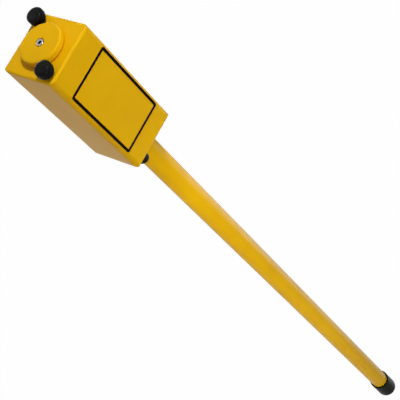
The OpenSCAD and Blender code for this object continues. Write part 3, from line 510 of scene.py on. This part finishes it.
YELLOW = Paint("yellow_enamel", "E0AC06", "DCA808")
TUBE_YELLOW = Paint("tube_enamel", "DFAB06", "DAA608", refraction=1.09)
FILM = Paint("label_film", "E1AD06", "DDA908", rough=0.24, peel=0.000004)
INK = Moulded(
    "label_ink", "0C0703", "120B05", rough=0.34, grain=700.0, depth=0.000004, refraction=1.08
)
KNOB_BLACK = Moulded(
    "knob_black", "0A0A0A", "161617", rough=0.34, grain=1400.0, refraction=1.14
)
RUBBER_BLACK = Moulded(
    "rubber_black", "0B0A09", "171614", rough=0.35, grain=1100.0, refraction=1.07
)
TRAY_BLACK = Moulded("tray_black", "1E1F21", "303134", rough=0.5)
PALE_PLASTIC = Moulded("pale_plastic", "D8D3C4", "E6E2D6", rough=0.42)
NYLON = Moulded("natural_nylon", "DAD4C0", "C8C0A6", rough=0.38)
CERAMIC = Moulded("silvered_ceramic", "DAD6CA", "BDB8AC", rough=0.35)
STRIP = Moulded("bonded_strip", "BFA868", "A88F52", rough=0.48, grain=500.0)
CHIP = Moulded("chip_resin", "17181A", "26272A", rough=0.5)
ALUMINIUM = Metal("brushed_aluminium", "C8CACC", "A4A7AA", 0.34, Tooling.BRUSHED)
TURNED_ALUMINIUM = Metal("turned_aluminium", "C6C8CA", "A0A3A6", 0.3, Tooling.TURNED)
STEEL = Metal("bare_steel", "9EA1A4", "6C6E70", 0.32, Tooling.TURNED)
DARK_STEEL = Metal("blackened_steel", "5A5C5E", "3A3B3C", 0.4, Tooling.PLAIN)
NICKEL = Metal("bright_nickel", "A8A8AB", "7A7A7D", 0.16, Tooling.TURNED, marks=0.000003)
BRASS = Metal("bare_brass", "C9A24A", "9A7428", 0.3, Tooling.TURNED)
BOARD = Laminate("board_laminate")
SLEEVE = Jacket("capacitor_sleeve", "23304E", "B9C2D6", length=13 * MM, share=0.12)
CELL = Jacket(
    "cell_jacket", "33475E", "B8BEC4",
    axis=0, start=12 * MM, length=100 * MM, share=0.12, rough=0.32,
)
GREY_JACKET = Jacket("grey_jacket", "8C8C86", "8C8C86")
RED_JACKET = Jacket("red_jacket", "9C2820", "9C2820")
COPPER = Winding("copper_winding")


# Meshes


def rounded_frame(width: float, height: float, radius: float, per_corner: int) -> np.ndarray:
    """Points round a rectangle with round corners, counter-clockwise.

    A corner's points are its centre plus the radius times the cosine and sine of angles over a
    quarter turn.

    Args:
        width: the rectangle's width.
        height: its height.
        radius: its corners' radius.
        per_corner: points on each corner.
    Returns:
        An array of points, two numbers each.
    """
    quarter = np.linspace(0.0, np.pi / 2, per_corner)
    angle = (np.arange(4)[:, None] * np.pi / 2 + quarter[None, :]).ravel()
    signs = np.array([[1, 1], [-1, 1], [-1, -1], [1, -1]], float)
    centre = np.array([width / 2 - radius, height / 2 - radius])
    turned = np.stack([np.cos(angle), np.sin(angle)], axis=1)
    return np.repeat(signs * centre, per_corner, axis=0) + radius * turned


def closed_grid_faces(rows: int, columns: int) -> np.ndarray:
    """Quads of a grid of points, stored row by row, that closes on itself both ways.

    Args:
        rows: points along the first parameter.
        columns: points along the second parameter.
    Returns:
        An array of four point numbers per quad.
    """
    row, column = np.mgrid[0:rows, 0:columns]
    next_row, next_column = (row + 1) % rows, (column + 1) % columns
    corners = ((row, column), (next_row, column), (next_row, next_column), (row, next_column))
    return np.stack([r * columns + c for r, c in corners], axis=-1).reshape(-1, 4)


def mesh_piece(name: str, points: np.ndarray, faces: np.ndarray) -> bpy.types.Object:
    """Makes a flat-shaded object at the origin from arrays of points and quads.

    Args:
        name: the piece's name.
        points: one row of three numbers per point, in metres.
        faces: one row of point numbers per face.
    Returns:
        The new object.
    """
    mesh = bpy.data.meshes.new(name)
    mesh.from_pydata(points.reshape(-1, 3).tolist(), [], faces.tolist())
    mesh.update()
    made = bpy.data.objects.new(name, mesh)
    bpy.context.scene.collection.objects.link(made)
    return made


def finish_node(node: str, look: Finish) -> None:
    """Gives a CAD node a finish.

    Args:
        node: the node's name.
        look: its finish.
    """
    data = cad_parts[node].data
    data.materials.clear()
    data.materials.append(look.material())
    LOG.info("%s: %s", node, look.name)


def finish_piece(piece: bpy.types.Object, look: Finish, body: str) -> None:
    """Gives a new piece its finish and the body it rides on.

    Args:
        piece: the new object.
        look: its finish.
        body: the CAD body that carries it.
    """
    piece.data.materials.append(look.material())
    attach(piece, body)
    LOG.info("%s: new piece on %s, %s", piece.name, body, look.name)


# Sub-assemblies


def table(**looks: Finish) -> Any:
    """A dataclass field that holds a finish for each CAD node.

    Args:
        looks: the finish of each node, by its name.
    Returns:
        The field, with a new table for each instance.
    """
    return field(default_factory=lambda: dict(looks))


@dataclass
class SubAssembly:
    """Pieces of the locator that are built and dressed together."""

    looks: dict[str, Finish] = table()

    def build(self) -> None:
        """Makes the sub-assembly's new pieces, if it has any."""

    def dress(self) -> None:
        """Gives each of its CAD nodes its finish."""
        for node, look in self.looks.items():
            finish_node(node, look)


@dataclass
class Staff(SubAssembly):
    """The sensor tube and its rubber foot."""

    looks: dict[str, Finish] = table(sensor_tube=TUBE_YELLOW, foot_cap=RUBBER_BLACK)


@dataclass
class HeadCover(SubAssembly):
    """The yellow cover with its printed label and the grommet round the tube."""

    border: float = 3.05 * MM
    outer_radius: float = 2.5 * MM
    inner_radius: float = 1.0 * MM
    ink_height: float = 0.06 * MM
    ink_bevel: float = 0.02 * MM
    corner_points: int = 9
    looks: dict[str, Finish] = table(
        head_cover=YELLOW, front_label=FILM, tube_grommet=RUBBER_BLACK
    )

    def build(self) -> None:
        """Carries a low trapezium of ink round the label's edge.

        Its four frames run from the film up to the ink's face, inwards, and back to the film.
        """
        low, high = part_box("front_label")
        middle = (low + high) / 2
        width, height = high.x - low.x, high.z - low.z
        outer, inner = self.outer_radius, self.inner_radius
        bevel, border = self.ink_bevel, self.border
        rings = []
        for inset, radius, rise in (
            (0.0, outer, 0.0),
            (bevel, outer - bevel, self.ink_height),
            (border - bevel, inner + bevel, self.ink_height),
            (border, inner, 0.0),
        ):
            flat = rounded_frame(
                width - 2 * inset, height - 2 * inset, radius, self.corner_points
            )
            depth = np.full(len(flat), low.y - rise)
            rings.append(np.stack([flat[:, 0] + middle.x, depth, flat[:, 1] + middle.z], axis=1))
        points = np.stack(rings)
        piece = mesh_piece("label_border", points, closed_grid_faces(*points.shape[:2]))
        finish_piece(piece, INK, "cover")


@dataclass
class TopPanel(SubAssembly):
    """The top plate with the round sounder and its nickel outlet."""

    looks: dict[str, Finish] = table(
        top_plate=YELLOW,
        sounder_cap=YELLOW,
        sound_eyelet=NICKEL,
        rim_seal=RUBBER_BLACK,
        cap_screws=STEEL,
        sounder_ring=TRAY_BLACK,
        piezo_plate=BRASS,
        piezo_ceramic=CERAMIC,
    )


@dataclass
class Controls(SubAssembly):
    """The two knobs, their shafts and the parts that hold them in the top plate."""

    looks: dict[str, Finish] = table(
        volume_knob=KNOB_BLACK,
        sensitivity_knob=KNOB_BLACK,
        volume_shaft=STEEL,
        sensitivity_shaft=STEEL,
        volume_set_screw=DARK_STEEL,
        sensitivity_set_screw=DARK_STEEL,
        volume_pot=STEEL,
        sensitivity_switch=STEEL,
        panel_washers=DARK_STEEL,
        panel_nuts=DARK_STEEL,
    )


@dataclass
class ThumbScrews(SubAssembly):
    """The two captive screws under the head, with their washers and clips."""

    looks: dict[str, Finish] = table(
        thumb_screw_a=KNOB_BLACK,
        thumb_screw_b=KNOB_BLACK,
        thumb_washers=NYLON,
        screw_clip_a=STEEL,
        screw_clip_b=STEEL,
    )


@dataclass
class Chassis(SubAssembly):
    """The collar, plate and sheet that join the tube to the top plate."""

    looks: dict[str, Finish] = table(
        tube_collar=TURNED_ALUMINIUM,
        base_plate=ALUMINIUM,
        chassis_spine=ALUMINIUM,
        thread_bushes=BRASS,
        collar_screws=STEEL,
        collar_set_screws=DARK_STEEL,
        spine_screws=STEEL,
    )


@dataclass
class Electronics(SubAssembly):
    """The circuit board, its parts, the batteries and the wires between them."""

    looks: dict[str, Finish] = table(
        circuit_board=BOARD,
        board_standoffs=BRASS,
        board_screws=STEEL,
        board_chips=CHIP,
        board_capacitors=SLEEVE,
        board_headers=PALE_PLASTIC,
        battery_tray=TRAY_BLACK,
        tray_screws=STEEL,
        batteries=CELL,
        battery_snaps=TRAY_BLACK,
        battery_leads=RED_JACKET,
        control_wires=GREY_JACKET,
    )


@dataclass
class Sensors(SubAssembly):
    """The two wound sensors on their strip inside the tube."""

    looks: dict[str, Finish] = table(
        sensor_carrier=STRIP,
        sensor_bobbins=TRAY_BLACK,
        sensor_windings=COPPER,
        sensor_cores=STEEL,
        sensor_ties=NYLON,
        centring_bushes=NYLON,
        sensor_cables=GREY_JACKET,
    )


# Studio


@dataclass(frozen=True)
class Softbox:
    """A flat lamp that looks at a point: lengths in metres, power in watts, spread in degrees."""

    name: str
    place: Triple
    aim: Triple
    sides: tuple[float, float]
    power: float
    spread: float
    tint: Triple = (1.0, 1.0, 1.0)

    def build(self) -> None:
        """Makes the lamp: its back axis runs from the aim to the lamp."""
        lamp = bpy.data.lights.new(self.name, "AREA")
        lamp.shape = "RECTANGLE"
        lamp.size, lamp.size_y = self.sides
        lamp.energy = self.power
        lamp.color = self.tint
        lamp.spread = math.radians(self.spread)
        made = bpy.data.objects.new(self.name, lamp)
        made.location = self.place
        made.visible_camera = False
        back = Vector(self.place) - Vector(self.aim)
        made.rotation_euler = back.to_track_quat("Z", "Y").to_euler()
        bpy.context.scene.collection.objects.link(made)


def sheen_lamp(name: str, place: Triple, power: float) -> Softbox:
    """One of the low lamps whose reflections make the pale line along the tube's right side.

    Args:
        name: the lamp's name.
        place: where it stands.
        power: its power.
    Returns:
        The lamp, aimed at the tube's middle.
    """
    return Softbox(name, place, aim=(0, 0, 0.45), sides=(0.6, 0.54), power=power, spread=24.0)


SOFTBOXES: tuple[Softbox, ...] = (
    # From above, for the top plate, the disc's shadow and the front edge's highlight
    Softbox(
        "key_softbox", (0.75, -0.40, 2.40), aim=(0.03, 0, 1.02),
        sides=(0.25, 0.25), power=0.153, spread=10.0,
    ),
    # From the front: a full one for the head, and a weaker one for the tube
    Softbox(
        "front_softbox", (-0.24, -1.17, 1.125), aim=(0, 0, 1.005),
        sides=(0.5, 0.65), power=0.431, spread=20.0,
    ),
    Softbox(
        "low_softbox", (-0.24, -1.17, 0.575), aim=(0, 0, 0.455),
        sides=(0.5, 0.45), power=0.18, spread=20.0,
    ),
    # From the left, for the tube's left side
    Softbox(
        "tube_strip", (-0.69, -0.58, 0.45), aim=(0, 0, 0.43),
        sides=(0.2, 0.86), power=0.245, spread=16.0,
    ),
    sheen_lamp("sheen_low", (0.179, -0.130, 0.166), 0.18),
    sheen_lamp("sheen_mid", (0.216, -0.046, 0.166), 0.14),
    sheen_lamp("sheen_high", (0.216, 0.046, 0.166), 0.05),
    # A warm glow on the head's left side
    Softbox(
        "warm_card", (-0.9, -0.1, 1.0), aim=(0, 0, 0.985),
        sides=(0.12, 0.12), power=0.009, spread=20.0, tint=(1.0, 0.5, 0.3),
    ),
    # From behind, where the photograph doesn't look
    Softbox(
        "back_fill", (0.37, 1.03, 0.62), aim=(0, 0, 0.55),
        sides=(0.5, 1.0), power=0.62, spread=24.0,
    ),
)


@dataclass(frozen=True)
class Studio:
    """White surroundings, soft lamps and the camera of the photograph.

    The camera's place and directions are in the part's frame, in metres. Its focal length is a
    share of the picture's width.
    """

    eye: Triple = (-0.2395, -0.6566, 1.6440)
    right: Triple = (0.46983413, -0.76794466, -0.43533537)
    down: Triple = (-0.85703982, -0.27865767, -0.43339663)
    forward: Triple = (0.21151509, 0.57672428, -0.78908204)
    focal_share: float = 997.1 / 400
    sensor_mm: float = 36.0
    clip_near: float = 0.01
    clip_far: float = 50.0
    ambient: float = 0.33
    floor_glow: float = 0.95
    floor_faint: float = 0.12
    floor_tint: float = 0.6
    floor_rough: float = 0.9
    floor_side: float = 8.0
    softboxes: tuple[Softbox, ...] = SOFTBOXES

    def build(self) -> None:
        """Makes the lamps, the floor, the world and the camera."""
        for softbox in self.softboxes:
            softbox.build()
        self._floor()
        self._world()
        self._camera()

    def _floor(self) -> None:
        """A square pale floor at the foot's height, which glows to the eye and keeps the shadow."""
        half = self.floor_side / 2
        corners = np.array([[-half, -half, 0], [half, -half, 0], [half, half, 0], [-half, half, 0]])
        floor = mesh_piece("floor", corners, np.arange(len(corners))[None, :])
        shader = Shader("floor_white")
        seen = shader.seen()
        look = shader.done(
            Base_Color=shader.mix(seen, grey(self.floor_tint), grey(self.floor_faint)),
            Emission_Color=shader.mix(seen, grey(0.0), grey(self.floor_glow)),
            Emission_Strength=1.0,
            Roughness=self.floor_rough,
            IOR=1.0,
        )
        floor.data.materials.append(look)

    def _world(self) -> None:
        """An even grey sky for light, white to the eye."""
        world = bpy.data.worlds.new("studio")
        bpy.context.scene.world = world
        world.use_nodes = True
        nodes = Nodes(world.node_tree)
        sky = nodes.tree.nodes["Background"]
        tint = nodes.mix(nodes.seen(), grey(self.ambient), grey(1.0))
        nodes.feed(sky.inputs["Color"], tint)

    def _camera(self) -> None:
        """The camera's columns are its right, its up, its back and its place."""
        data = bpy.data.cameras.new("camera")
        data.sensor_width = self.sensor_mm
        data.lens = self.sensor_mm * self.focal_share
        data.clip_start, data.clip_end = self.clip_near, self.clip_far
        made = bpy.data.objects.new("camera", data)
        columns = (self.right, -Vector(self.down), -Vector(self.forward))
        placed = Matrix(columns).transposed().to_4x4()
        placed.translation = self.eye
        made.matrix_world = placed
        bpy.context.scene.collection.objects.link(made)
        bpy.context.scene.camera = made


def main() -> None:
    """Builds and dresses each sub-assembly, then the studio."""
    logging.basicConfig(level=logging.INFO, format="%(name)s: %(message)s")
    bpy.context.scene.view_settings.view_transform = "Standard"
    assemblies: tuple[SubAssembly, ...] = (
        Staff(),
        HeadCover(),
        TopPanel(),
        Controls(),
        ThumbScrews(),
        Chassis(),
        Electronics(),
        Sensors(),
    )
    for assembly in assemblies:
        LOG.info("building %s", type(assembly).__name__)
        assembly.build()
        assembly.dress()
    Studio().build()


if __name__ == "__main__":
    main()
